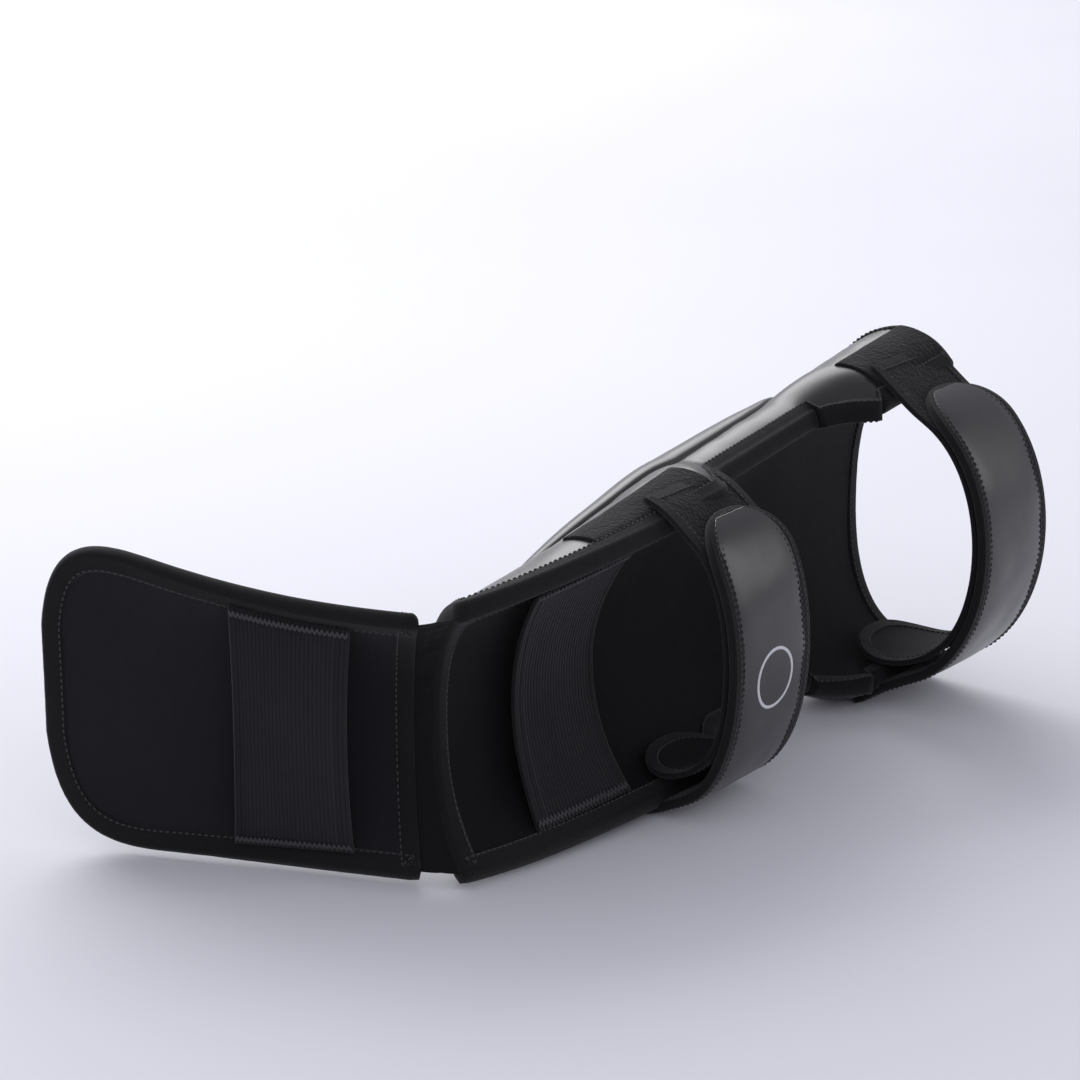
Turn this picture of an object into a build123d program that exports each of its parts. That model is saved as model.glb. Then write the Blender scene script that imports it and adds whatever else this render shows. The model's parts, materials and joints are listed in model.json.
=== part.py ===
"""Shin and instep guard, lying on its side: padded shin trough, hinged instep pad, two calf straps.

The shin runs along +X from the ankle to the knee, its front faces +Y and the calf opening faces -Y.
Every pad is a trough: at each station an inner curve is laid across it, and layers are measured outward
from that curve. Straps and tongues follow ellipses that close the calf opening.
"""
import os
from math import cos, exp, hypot, pi, radians, sin, sqrt

from build123d import *

os.makedirs("parts", exist_ok=True)

# Frame: where the ankle's inner spine stands, so that the origin is the middle of the guard's footprint
ANKLE_X = -145.775
ANKLE_Y = -26.317
ANKLE_Z = 0.1

# Shin pad
SHIN_LENGTH = 395.0
ANKLE_CHORD = 131.0        # between the two wing edges, inside, at the ankle
KNEE_CHORD = 159.0
ANKLE_DEPTH = 30.0         # from the spine to the wing edges
KNEE_DEPTH = 58.0
DEPTH_RUN = 75.0           # length over which the trough deepens
ANKLE_EDGE_Z = 10.8        # height of the lower wing edge above the floor
KNEE_EDGE_Z = 25.5
ANKLE_PAD = 12.0           # pad thickness
KNEE_PAD = 28.0
ANKLE_SWELL = 0.20         # how far the wings bow out between spine and edge
KNEE_SWELL = 0.75
SHIN_EDGE = 9.0            # pad thickness at its edge
SHIN_MITRE = 0.55          # slope of the slanting ankle end
SHIN_MITRE_RUN = 110.0
RECESS = 0.21              # how far the wing edges step back between the straps, as a share
RECESS_SPAN = (168.0, 326.0)
RECESS_RUN = 36.0          # length of each step

# Instep pad
FOOT_TURN = 120.0          # degrees from the shin's axis to the foot's, seen from above
FOOT_START = 14.0
FOOT_LENGTH = 200.0
HEEL_CHORD = 126.0
TOE_FLARE = 42.0
TOE_ROUND = 60.0           # length of the rounded toe end
HEEL_DEPTH = 27.0
TOE_DEPTH = 4.0
FOOT_EDGE_Z = 10.1          # at the ankle
FOOT_SINK = 2.6            # how much lower its edge runs towards the toe
FOOT_PAD = 12.0
FOOT_EDGE = 7.5
FOOT_SWELL = 0.15
FOOT_MITRE = 0.30
FOOT_MITRE_RUN = 70.0

# Layers
CURVE_POWER = 2.3          # flatness of a trough's spine
LINING = 1.6
COVER = 1.2
GAP = 0.4                  # between neighbouring layers
BINDING = 3.5              # how far the bound edge stands out from the pad
BINDING_OVERLAP = 1.0

# Calf straps and the loop-faced tongues beneath them
STRAP_WIDTH = 68.0
CROWN = 0.8                # how much higher a strap's face is along its middle
STRAP_HALF = 3.0           # half thickness of a bound strap
TONGUE_HALF = 1.6
TONGUE_INSET = 5.9         # from the strap's middle line to the tongue's
STRAP_STAND_OFF = 8.0      # from the wing edge to the strap's root
STRAP_RISE = 4.0
RAIL = 5.0                 # width of a strap's bound edge
STRAPS = {
    "lower": {"x": 153.0, "bulge": 36.0, "patch": (84.0, 166.0)},
    "upper": {"x": 362.0, "bulge": 58.0, "patch": (330.0, 391.0)},
}
STRAP_TIP = 84.0           # degrees round the ellipse from its outermost point
STRAP_ROOT = -88.0
CURL_START = -30.0         # where a tongue leaves the ellipse and curls in over the lower wing
CURL_END = -110.0
CURL_IN = 24.4             # from the wing's edge to the tongue's end
CURL_UP = 14.0

# Elastics
ELASTIC = 1.8
ANKLE_ELASTIC = (46.0, 106.0)
ANKLE_BOW = 24.0
FOOT_ELASTIC = (42.0, 102.0)
FOOT_BOW = -5.0
TACK_HEIGHT = 0.9


def mix(start, end, share):
    return start + (end - start) * share


class Trough:
    """A trough-shaped pad. Subclasses give its sizes at a station s along its length."""

    edge = 0.0
    flat = CURVE_POWER

    def rim_share(self, s):
        """Share at which the pad ends."""
        return 1.0

    def depth_thickness(self, s, u):
        """Pad thickness at share u across, from -1 at the full lower edge to +1 at the full upper one."""
        return self.edge + (self.pad(s) - self.edge) * (1 - min(1.0, abs(u) / self.rim_share(s)) ** 6)

    def slope(self, s, u):
        """Derivative of the inner curve."""
        side = 1 if u >= 0 else -1
        out = -self.depth(s) * self.flat * abs(u) ** (self.flat - 1) * side
        up = self.chord(s) / 2 * (1 + self.swell(s) * (1 - 3 * u * u))
        return out, up

    def point(self, s, u, outward):
        """(out, height) of the point that lies outward millimetres from the inner curve."""
        out = -self.depth(s) * abs(u) ** self.flat
        up = self.middle(s) + self.chord(s) / 2 * u * (1 + self.swell(s) * (1 - u * u))
        slope_out, slope_up = self.slope(s, u)
        size = hypot(slope_out, slope_up)
        return out + slope_up / size * outward, up - slope_out / size * outward

    def reach(self, s, margin):
        """Share u that lies margin millimetres beyond the pad's edge."""
        rim = self.rim_share(s)
        return rim + margin / hypot(*self.slope(s, rim))

    def section(self, s, inner, outer, margin=0.0, span=None, shift=0.0):
        """Closed band across the trough, between two layer surfaces and two shares across.

        It has the trough's shape at s and stands shift millimetres further along.
        """
        start, end = span if span else (-self.reach(s, margin), self.reach(s, margin))
        shares = [mix(start, end, (1 + sin(pi / 2 * k / 9)) / 2) for k in range(-9, 10)]
        stretch = hypot(1.0, self.mitre(s))
        near = [self.point(s, u, inner(self.depth_thickness(s, u))) for u in shares]
        far = [self.point(s, u, outer(self.depth_thickness(s, u))) for u in shares]
        with BuildSketch(self.plane(s + shift)) as band:
            with BuildLine():
                low = Spline([(out * stretch, up) for out, up in near])
                high = Spline([(out * stretch, up) for out, up in far])
                Line(low @ 0, high @ 0)
                Line(low @ 1, high @ 1)
            make_face()
        return band.sketch


class Shin(Trough):
    edge = SHIN_EDGE
    stations = (0.0, 15.0, 30.0, 50.0, 70.0, 95.0, 120.0, 158.0, 176.0, 194.0, 212.0, 248.0, 284.0, 300.0, 316.0, 334.0, 365.0,
                SHIN_LENGTH)

    def share(self, s):
        return s / SHIN_LENGTH

    def rim_share(self, s):
        """The wings are cut back between the two straps."""
        start, end = RECESS_SPAN
        into = max(0.0, min(1.0, (s - start) / RECESS_RUN, (end - s) / RECESS_RUN))
        return 1 - RECESS * into * into * (3 - 2 * into)

    def chord(self, s):
        return mix(ANKLE_CHORD, KNEE_CHORD, self.share(s))

    def depth(self, s):
        return KNEE_DEPTH - (KNEE_DEPTH - ANKLE_DEPTH) * exp(-s / DEPTH_RUN)

    def middle(self, s):
        return mix(ANKLE_EDGE_Z, KNEE_EDGE_Z, self.share(s)) + self.chord(s) / 2

    def pad(self, s):
        return mix(ANKLE_PAD, KNEE_PAD, max(0.0, min(1.0, s / (SHIN_LENGTH / 2))))

    def swell(self, s):
        return mix(ANKLE_SWELL, KNEE_SWELL, self.share(s))

    def mitre(self, s):
        return SHIN_MITRE * max(0.0, 1 - s / SHIN_MITRE_RUN)

    def plane(self, s):
        return Plane(origin=(ANKLE_X + s, ANKLE_Y, ANKLE_Z),
                     x_dir=(self.mitre(s), 1, 0), z_dir=(1, -self.mitre(s), 0))


class Foot(Trough):
    edge = FOOT_EDGE
    stations = (FOOT_START, 45.0, 80.0, 115.0, 140.0, 165.0, 180.0, 190.0, 196.0, 199.0)
    along = (cos(radians(FOOT_TURN)), sin(radians(FOOT_TURN)))
    outward = (sin(radians(FOOT_TURN)), -cos(radians(FOOT_TURN)))

    def flare(self, s):
        return HEEL_CHORD + TOE_FLARE * (s / FOOT_LENGTH) ** 2.2

    def into_toe(self, s):
        """Share of the way through the rounded toe end."""
        return max(0.0, (s - FOOT_LENGTH + TOE_ROUND) / TOE_ROUND)

    def chord(self, s):
        return self.flare(s) * (1 - self.into_toe(s) ** 2.6) ** (1 / 2.6)

    def depth(self, s):
        return TOE_DEPTH + HEEL_DEPTH * max(0.0, 1 - s / FOOT_LENGTH) ** 1.3

    def middle(self, s):
        return FOOT_EDGE_Z - FOOT_SINK * s / FOOT_LENGTH + self.flare(s) / 2

    def pad(self, s):
        return mix(FOOT_EDGE, FOOT_PAD, sin(pi * min(1.0, max(0.15, s / FOOT_LENGTH))))

    def swell(self, s):
        return FOOT_SWELL

    def mitre(self, s):
        return FOOT_MITRE * max(0.0, 1 - s / FOOT_MITRE_RUN)

    def plane(self, s):
        slant = self.mitre(s)
        out_x = self.outward[0] + slant * self.along[0]
        out_y = self.outward[1] + slant * self.along[1]
        return Plane(origin=(ANKLE_X + s * self.along[0], ANKLE_Y + s * self.along[1], ANKLE_Z),
                     x_dir=(out_x, out_y, 0), z_dir=(out_y, -out_x, 0))


def from_lining(distance):
    """Layer surface a fixed distance outward from the pad's inner face."""
    return lambda thickness: distance


def from_cover(distance):
    """Layer surface a fixed distance outward from the pad's outer face."""
    return lambda thickness: thickness + distance


def layer(trough, inner, outer):
    return [trough.section(s, inner, outer) for s in trough.stations]


SHIN = Shin()
FOOT = Foot()


def finish(part, name):
    """Label a finished piece and write its STEP file."""
    part.part.label = name
    export_step(part.part, f"parts/{name}.step")


# --- shin pad ------------------------------------------------------------------------------------
with BuildPart() as shin_lining:
    loft(layer(SHIN, from_lining(0), from_lining(LINING)), ruled=True)
finish(shin_lining, "shin_lining")

with BuildPart() as shin_foam:
    loft(layer(SHIN, from_lining(LINING + GAP), from_cover(-COVER - GAP)), ruled=True)
finish(shin_foam, "shin_foam")

with BuildPart() as shin_cover:
    loft(layer(SHIN, from_cover(-COVER), from_cover(0)), ruled=True)
finish(shin_cover, "shin_cover")

RIM_STATIONS = (-BINDING,) + SHIN.stations + (SHIN_LENGTH + BINDING,)
CORE_STATIONS = (-GAP,) + SHIN.stations[1:-1] + (SHIN_LENGTH + GAP,)
with BuildPart() as shin_binding:
    loft([SHIN.section(s, from_lining(-BINDING_OVERLAP), from_cover(BINDING_OVERLAP), BINDING)
          for s in RIM_STATIONS], ruled=True)
    loft([SHIN.section(s, from_lining(-3 * BINDING_OVERLAP), from_cover(3 * BINDING_OVERLAP), GAP)
          for s in CORE_STATIONS], ruled=True, mode=Mode.SUBTRACT)
finish(shin_binding, "shin_binding")


# Raised pads: start, end, half width as a share of the way to the wing edge, height
RIDGE = (47.0, 351.0, 0.64, 11.0)
INSTEP = (45.0, 169.0, 0.58, 9.0)
MOUND_GAP = 1.5            # between a raised pad and the cover beneath it
SHARE_PER_MM = 1 / 75


def mound(trough, pad, shrink, low):
    """Sections of a raised pad on a trough's outer face, shrunk inside its cover by shrink."""
    start, end, span, height = pad
    sections = []
    for k in range(7):
        swell = 0.4 + 0.6 * sqrt(sin(pi * k / 6))
        half = span * (0.6 + 0.4 * swell) - shrink * SHARE_PER_MM
        sections.append(trough.section(mix(start + shrink, end - shrink, k / 6), from_cover(low),
                                       from_cover(height * swell - shrink), span=(-half, half)))
    return sections


def cushion(trough, pad):
    """Foam core of a raised pad."""
    return mound(trough, pad, COVER + GAP, MOUND_GAP)


def skin(trough, pad):
    """Outer shape of a raised pad's cover, and the hollow inside it."""
    return mound(trough, pad, 0.0, MOUND_GAP), mound(trough, pad, COVER, -2.0)


with BuildPart() as ridge_foam:
    loft(cushion(SHIN, RIDGE))
finish(ridge_foam, "ridge_foam")

with BuildPart() as ridge_cover:
    outside, hollow = skin(SHIN, RIDGE)
    loft(outside)
    loft(hollow, mode=Mode.SUBTRACT)
finish(ridge_cover, "ridge_cover")

# --- instep pad ----------------------------------------------------------------------------------
with BuildPart() as foot_lining:
    loft(layer(FOOT, from_lining(0), from_lining(LINING)))
finish(foot_lining, "foot_lining")

with BuildPart() as foot_foam:
    loft(layer(FOOT, from_lining(LINING + GAP), from_cover(-COVER - GAP)))
finish(foot_foam, "foot_foam")

with BuildPart() as foot_cover:
    loft(layer(FOOT, from_cover(-COVER), from_cover(0)))
finish(foot_cover, "foot_cover")

with BuildPart() as foot_binding:
    loft([FOOT.section(s, from_lining(-BINDING_OVERLAP), from_cover(BINDING_OVERLAP), BINDING,
                       shift=BINDING * FOOT.into_toe(s))
          for s in (FOOT_START - BINDING,) + FOOT.stations[1:]])
    loft([FOOT.section(s, from_lining(-3 * BINDING_OVERLAP), from_cover(3 * BINDING_OVERLAP), GAP,
                       shift=GAP * FOOT.into_toe(s))
          for s in (FOOT_START - GAP,) + FOOT.stations[1:]], mode=Mode.SUBTRACT)
finish(foot_binding, "foot_binding")

with BuildPart() as instep_foam:
    loft(cushion(FOOT, INSTEP))
finish(instep_foam, "instep_foam")

with BuildPart() as instep_cover:
    outside, hollow = skin(FOOT, INSTEP)
    loft(outside)
    loft(hollow, mode=Mode.SUBTRACT)
finish(instep_cover, "instep_cover")

# --- ankle gusset, which folds when the instep pad swings ----------------------------------------
GUSSET_NEAR = 1.0
GUSSET_FAR = 3.4
GUSSET_GAP = 0.5
with BuildPart() as ankle_gusset:
    loft([SHIN.section(-BINDING - GUSSET_GAP, from_lining(GUSSET_NEAR), from_lining(GUSSET_FAR)),
          FOOT.section(FOOT_START - BINDING - GUSSET_GAP, from_lining(GUSSET_NEAR),
                       from_lining(GUSSET_FAR))])
finish(ankle_gusset, "ankle_gusset")

# --- elastics, sewn inside the wings -------------------------------------------------------------
ELASTIC_SEAM = 0.93        # share across at which an elastic is sewn to the lining


def web(trough, s, bow, start, end, near, far):
    """Section of webbing from wing to wing; start and end run from -1 at the lower seam to +1."""
    low = trough.point(s, -ELASTIC_SEAM, -ELASTIC)
    high = trough.point(s, ELASTIC_SEAM, -ELASTIC)
    stretch = hypot(1.0, trough.mitre(s))

    def place(v, offset):
        out = mix(low[0], high[0], (1 + v) / 2) + bow * (1 - v * v) + offset
        return out * stretch, mix(low[1], high[1], (1 + v) / 2)

    steps = [mix(start, end, k / 6) for k in range(7)]
    with BuildSketch(trough.plane(s)) as band:
        with BuildLine():
            inside = Spline([place(v, near) for v in steps])
            outside = Spline([place(v, far) for v in steps])
            Line(inside @ 0, outside @ 0)
            Line(inside @ 1, outside @ 1)
        make_face()
    return band.sketch


def webbing(trough, reach, bow, start=-1.0, end=1.0, near=-ELASTIC / 2, far=ELASTIC / 2):
    return [web(trough, mix(reach[0], reach[1], k / 2), bow, start, end, near, far) for k in range(3)]


TACK_END = 0.985
TACK_START = 0.925
TACK_FACE = -ELASTIC / 2 - GAP
with BuildPart() as ankle_elastic:
    loft(webbing(SHIN, ANKLE_ELASTIC, ANKLE_BOW))
finish(ankle_elastic, "ankle_elastic")

with BuildPart() as foot_elastic:
    loft(webbing(FOOT, FOOT_ELASTIC, FOOT_BOW))
finish(foot_elastic, "foot_elastic")

with BuildPart() as ankle_bar_tacks:
    for side in (-1, 1):
        loft(webbing(SHIN, ANKLE_ELASTIC, ANKLE_BOW, side * TACK_START, side * TACK_END,
                     TACK_FACE - TACK_HEIGHT, TACK_FACE))
finish(ankle_bar_tacks, "ankle_bar_tacks")

with BuildPart() as foot_bar_tacks:
    for side in (-1, 1):
        loft(webbing(FOOT, FOOT_ELASTIC, FOOT_BOW, side * TACK_START, side * TACK_END,
                     TACK_FACE - TACK_HEIGHT, TACK_FACE))
finish(foot_bar_tacks, "foot_bar_tacks")


# --- calf straps and tongues ---------------------------------------------------------------------
class Loop:
    """The ellipse that a strap follows across the calf opening at station x of the shin."""

    def __init__(self, x, bulge):
        self.x = x
        self.bulge = bulge
        self.out = -SHIN.depth(x) - STRAP_STAND_OFF
        self.middle = SHIN.middle(x)
        self.rise = SHIN.chord(x) / 2 + STRAP_RISE

    def place(self, angle, inset):
        """(out, height) at an angle round the ellipse."""
        turn = radians(angle)
        return (self.out - (self.bulge - inset) * cos(turn),
                self.middle + (self.rise - inset) * sin(turn))

    def heading(self, angle, inset):
        behind = self.place(angle - 0.05, inset)
        ahead = self.place(angle + 0.05, inset)
        return ahead[0] - behind[0], ahead[1] - behind[1]

    def plane(self, angle, inset):
        """Section plane at an angle, with its local -Y pointing out of the loop."""
        out, up = self.place(angle, inset)
        return Plane(origin=(ANKLE_X + self.x, ANKLE_Y + out, ANKLE_Z + up), x_dir=(1, 0, 0),
                     z_dir=(0,) + self.heading(angle, inset))

    def walk(self, start, towards, distance, inset):
        """Angle reached by going a distance round the ellipse from start."""
        step = 0.1 if towards > start else -0.1
        angle = start
        while distance > 0:
            distance -= hypot(*self.heading(angle, inset))
            angle += step
        return angle

    def section(self, angle, inset, inner, outer, width, crown):
        with BuildSketch(self.plane(angle, inset)) as band:
            with BuildLine():
                flat = Line((-width / 2, -inner), (width / 2, -inner))
                if crown:
                    face = ThreePointArc((-width / 2, -outer), (0, -outer - crown * width / STRAP_WIDTH),
                                         (width / 2, -outer))
                else:
                    face = Line((-width / 2, -outer), (width / 2, -outer))
                Line(flat @ 0, face @ 0)
                Line(flat @ 1, face @ 1)
            make_face()
        return band.sketch

    def band(self, tip, root, inset, inner, outer, width, crown=0.0):
        """Sections from a rounded tip to a square root."""
        radius = width / 2
        sections = []
        for share in (0.03, 0.12, 0.3, 0.6, 1.0):
            angle = self.walk(tip, root, share * radius, inset)
            round_width = width * sqrt(1 - (1 - share) ** 2)
            sections.append(self.section(angle, inset, inner, outer, round_width, crown))
        last = self.walk(tip, root, radius, inset)
        for k in range(1, 15):
            sections.append(self.section(mix(last, root, k / 14), inset, inner, outer, width, crown))
        return sections


class Curl(Loop):
    """A tongue's route: the ellipse, and then a curl that ends over the lower wing."""

    def place(self, angle, inset):
        if angle >= CURL_START:
            return super().place(angle, inset)
        start = super().place(CURL_START, inset)
        before = super().place(CURL_START + 0.1, inset)
        step = hypot(start[0] - before[0], start[1] - before[1])
        end = (-SHIN.depth(self.x) + CURL_IN, self.middle - SHIN.chord(self.x) / 2 + CURL_UP)
        reach = 0.41 * hypot(end[0] - start[0], end[1] - start[1])
        guides = ((start[0] - before[0]) / step * reach + start[0],
                  (start[1] - before[1]) / step * reach + start[1]), (end[0] - 0.87 * reach, end[1] - 0.49 * reach)
        v = (CURL_START - angle) / (CURL_START - CURL_END)
        weights = ((1 - v) ** 3, 3 * (1 - v) ** 2 * v, 3 * (1 - v) * v * v, v ** 3)
        points = (start, guides[0], guides[1], end)
        return tuple(sum(w * p[k] for w, p in zip(weights, points)) for k in (0, 1))


def rim(loop, tip, root, inset, half, width, crown):
    """Sections of a bound band and of the field that its binding surrounds."""
    inner_tip = loop.walk(tip, root, RAIL, inset)
    past_root = root + (4.0 if root > tip else -4.0)
    whole = loop.band(tip, root, inset, -half, half, width, crown)
    field = loop.band(inner_tip, past_root, inset, -half - 2, half + 2, width - 2 * RAIL)
    return whole, field


LEATHER = (1.2, 2.6)       # layers of a strap, from its middle line outward
CORE = (-0.8, 0.7)
HOOK = (-2.7, -1.3)
LOOP_PILE = (0.25, 1.5)    # layers of a tongue
TONGUE_LINING = (-1.4, -0.2)
TONGUE_WIDTH = STRAP_WIDTH - 4.0
TONGUE_ROOT = 84.0
PATCH = 1.6                # loop patch on the wing's outer face
PATCH_GAP = 1.4
PATCH_SPAN = (0.70, 0.97)

for side, sizes in STRAPS.items():
    loop = Loop(sizes["x"], sizes["bulge"])
    strap_rim, strap_field = rim(loop, STRAP_TIP, STRAP_ROOT, 0.0, STRAP_HALF, STRAP_WIDTH, CROWN)
    with BuildPart() as strap_binding:
        loft(strap_rim, ruled=True)
        loft(strap_field, ruled=True, mode=Mode.SUBTRACT)
    finish(strap_binding, f"{side}_strap_binding")

    field_tip = loop.walk(STRAP_TIP, STRAP_ROOT, RAIL + GAP, 0.0)
    field_width = STRAP_WIDTH - 2 * RAIL - 2 * GAP
    for name, (inner, outer) in (("leather", LEATHER), ("core", CORE), ("hook", HOOK)):
        with BuildPart() as strap_layer:
            loft(loop.band(field_tip, STRAP_ROOT, 0.0, inner, outer, field_width,
                           CROWN if name == "leather" else 0.0), ruled=True)
        finish(strap_layer, f"{side}_strap_{name}")

    curl = Curl(sizes["x"], sizes["bulge"])
    tongue_rim, tongue_field = rim(curl, CURL_END, TONGUE_ROOT, TONGUE_INSET, TONGUE_HALF, TONGUE_WIDTH, 0.0)
    with BuildPart() as tongue_binding:
        loft(tongue_rim, ruled=True)
        loft(tongue_field, ruled=True, mode=Mode.SUBTRACT)
    finish(tongue_binding, f"{side}_tongue_binding")

    field_tip = curl.walk(CURL_END, TONGUE_ROOT, RAIL + GAP, TONGUE_INSET)
    field_width = TONGUE_WIDTH - 2 * RAIL - 2 * GAP
    for name, (inner, outer) in (("loop_pile", LOOP_PILE), ("lining", TONGUE_LINING)):
        with BuildPart() as tongue_layer:
            loft(curl.band(field_tip, TONGUE_ROOT, TONGUE_INSET, inner, outer, field_width),
                 ruled=True)
        finish(tongue_layer, f"{side}_tongue_{name}")

    patch_start, patch_end = sizes["patch"]
    with BuildPart() as loop_patch:
        loft([SHIN.section(mix(patch_start, patch_end, k / 4), from_cover(PATCH_GAP),
                           from_cover(PATCH_GAP + PATCH), span=PATCH_SPAN)
              for k in range(5)])
    finish(loop_patch, f"{side}_loop_patch")

# --- plain ring printed on the lower strap -------------------------------------------------------
EMBLEM_ANGLE = -6.0
EMBLEM_RADIUS = 16.5
EMBLEM_LINE = 1.6
PRINT = 0.3
lower_loop = Loop(STRAPS["lower"]["x"], STRAPS["lower"]["bulge"])
print_tip = lower_loop.walk(STRAP_TIP, STRAP_ROOT, RAIL + GAP, 0.0)
face_spot = lower_loop.plane(EMBLEM_ANGLE, 0.0)
PRINT_WIDTH = STRAP_WIDTH - 2 * RAIL - 2 * GAP
PRINT_FACE = LEATHER[1] + CROWN
with BuildPart() as strap_emblem:
    loft(lower_loop.band(print_tip, STRAP_ROOT, 0.0, PRINT_FACE, PRINT_FACE + PRINT, PRINT_WIDTH), ruled=True)
    with BuildSketch(Plane(origin=face_spot.origin, x_dir=(1, 0, 0), z_dir=-face_spot.y_dir)):
        Circle(EMBLEM_RADIUS)
        Circle(EMBLEM_RADIUS - EMBLEM_LINE, mode=Mode.SUBTRACT)
    extrude(amount=4 * STRAP_HALF, mode=Mode.INTERSECT)
finish(strap_emblem, "strap_emblem")
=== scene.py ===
"""Studio scene for the shin and instep guard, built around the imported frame."""

import json
from math import ceil, cos, exp, hypot, pi, radians, sin, sqrt

import bmesh
import bpy
import numpy as np
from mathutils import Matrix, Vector, noise


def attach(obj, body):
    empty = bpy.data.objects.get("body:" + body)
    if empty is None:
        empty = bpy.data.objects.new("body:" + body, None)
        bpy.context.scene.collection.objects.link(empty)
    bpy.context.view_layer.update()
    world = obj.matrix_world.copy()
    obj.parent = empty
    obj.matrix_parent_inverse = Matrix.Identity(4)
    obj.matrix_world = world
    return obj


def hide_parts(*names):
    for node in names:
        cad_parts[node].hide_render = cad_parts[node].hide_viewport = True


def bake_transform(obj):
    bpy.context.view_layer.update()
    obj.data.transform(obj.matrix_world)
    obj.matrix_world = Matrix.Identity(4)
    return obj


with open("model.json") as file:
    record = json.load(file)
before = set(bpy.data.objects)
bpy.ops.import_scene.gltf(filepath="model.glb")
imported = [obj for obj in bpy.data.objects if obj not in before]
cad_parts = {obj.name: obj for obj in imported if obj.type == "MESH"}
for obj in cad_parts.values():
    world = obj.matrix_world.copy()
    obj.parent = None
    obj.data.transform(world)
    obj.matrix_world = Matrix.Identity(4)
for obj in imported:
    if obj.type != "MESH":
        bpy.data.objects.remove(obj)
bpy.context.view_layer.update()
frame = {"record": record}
record = frame["record"]
joint_at = {j["name"]: Vector(j["pos_m"]) for j in record["behaviour"]["joints"] if "pos_m" in j}
ANKLE = Vector((joint_at["ankle_fold"].x, joint_at["ankle_fold"].y, 0.0001))
MM = 0.001

# ---- sizes shared with the frame, in millimetres --------------------------------------------------
SHIN_LENGTH = 395.0
FOOT_LENGTH = 200.0
FOOT_START = 14.0       # the pad starts this far from the ankle's spine
FOOT_END = 199.0        # just short of the toe, where the width reaches nothing
FOOT_TURN = radians(120.0)
CURVE_POWER = 2.3
STRAP_WIDTH = 68.0
TONGUE_WIDTH = 64.0
STRAP_STAND_OFF = 8.0
STRAP_RISE = 4.0
TONGUE_INSET = 5.9
HINGE_REACH = 0.006     # metres of cloth on each side of a hinge; it scales an offset that is never used
STRAPS = {
    "lower": {"x": 153.0, "bulge": 36.0, "patch": (84.0, 166.0)},
    "upper": {"x": 362.0, "bulge": 58.0, "patch": (330.0, 391.0)},
}


def mix(start, end, share):
    return start + (end - start) * share


def clamp(value, low=0.0, high=1.0):
    return max(low, min(high, value))


def smooth(share):
    share = clamp(share)
    return share * share * (3 - 2 * share)


def wobble(x, y, z, scale):
    """Smooth noise between about -1 and 1; the arguments are millimetres."""
    return noise.noise(Vector((x, y, z)) / scale)


# ---- surfaces -------------------------------------------------------------------------------------
class Surface:
    """Something flat that is bent in space: at(s, w, t) with s along, w across and t outward of it."""

    def at(self, s, w, t):
        raise NotImplementedError

    def frame_at(self, s, w, t):
        """Point, tangents along s and w, and outward normal."""
        here = self.at(s, w, t)
        along = self.at(s + 0.2, w, t) - self.at(s - 0.2, w, t)
        step = 0.002 * self.across
        over = self.at(s, w + step, t) - self.at(s, w - step, t)
        out = self.at(s, w, t + 0.5) - self.at(s, w, t - 0.5)
        return here, along / 0.4, over / (2 * step), out.normalized()

    def march(self, s, w, t, direction, distance):
        """(s, w) reached by going a distance in a direction given in space."""
        steps = max(1, ceil(distance / 3.0))
        for _ in range(steps):
            _, along, over, _ = self.frame_at(s, w, t)
            a, b, c = along.dot(along), along.dot(over), over.dot(over)
            p, q = along.dot(direction), over.dot(direction)
            size = distance / steps * MM / (a * c - b * b)
            s += (c * p - b * q) * size
            w += (a * q - b * p) * size
        return s, w


class Trough(Surface):
    """A trough-shaped pad, the same curve as in the CAD; w is the share of the way to the wing edge."""

    across = 1.0

    def rim(self, s):
        """Share of the full wing at which the pad ends."""
        return 1.0

    def thickness(self, s, w):
        return self.edge + (self.pad(s) - self.edge) * (1 - min(1.0, abs(w) / self.rim(s)) ** 6)

    def slope(self, s, w):
        side = 1 if w >= 0 else -1
        out = -self.depth(s) * CURVE_POWER * abs(w) ** (CURVE_POWER - 1) * side
        up = self.chord(s) / 2 * (1 + self.swell(s) * (1 - 3 * w * w))
        return out, up

    def section(self, s, w, t):
        out = -self.depth(s) * abs(w) ** CURVE_POWER
        up = self.middle(s) + self.chord(s) / 2 * w * (1 + self.swell(s) * (1 - w * w))
        slope_out, slope_up = self.slope(s, w)
        size = hypot(slope_out, slope_up)
        return out + slope_up / size * t, up - slope_out / size * t

    def at(self, s, w, t):
        out, up = self.section(s, w, t)
        along = s + self.mitre(s) * out
        return ANKLE + (self.along * along + self.outward * out + Vector((0, 0, up))) * MM


class Shin(Trough):
    edge = 9.0
    width_scale = 110.0       # millimetres of cloth from the middle to the wing edge, about
    core = (200.0, 0.0)       # a place (s, w) well inside the panel
    along = Vector((1, 0, 0))
    outward = Vector((0, 1, 0))

    def chord(self, s):
        return mix(131.0, 159.0, s / SHIN_LENGTH)

    def depth(self, s):
        return 58.0 - 28.0 * exp(-s / 75.0)

    def middle(self, s):
        return mix(10.8, 25.5, s / SHIN_LENGTH) + self.chord(s) / 2

    def pad(self, s):
        return mix(12.0, 28.0, clamp(2 * s / SHIN_LENGTH))

    def swell(self, s):
        return mix(0.20, 0.75, s / SHIN_LENGTH)

    def mitre(self, s):
        return 0.55 * max(0.0, 1 - s / 110.0)

    def rim(self, s):
        into = smooth(min((s - 168.0) / 36.0, (326.0 - s) / 36.0))
        return 1 - 0.21 * into


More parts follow.
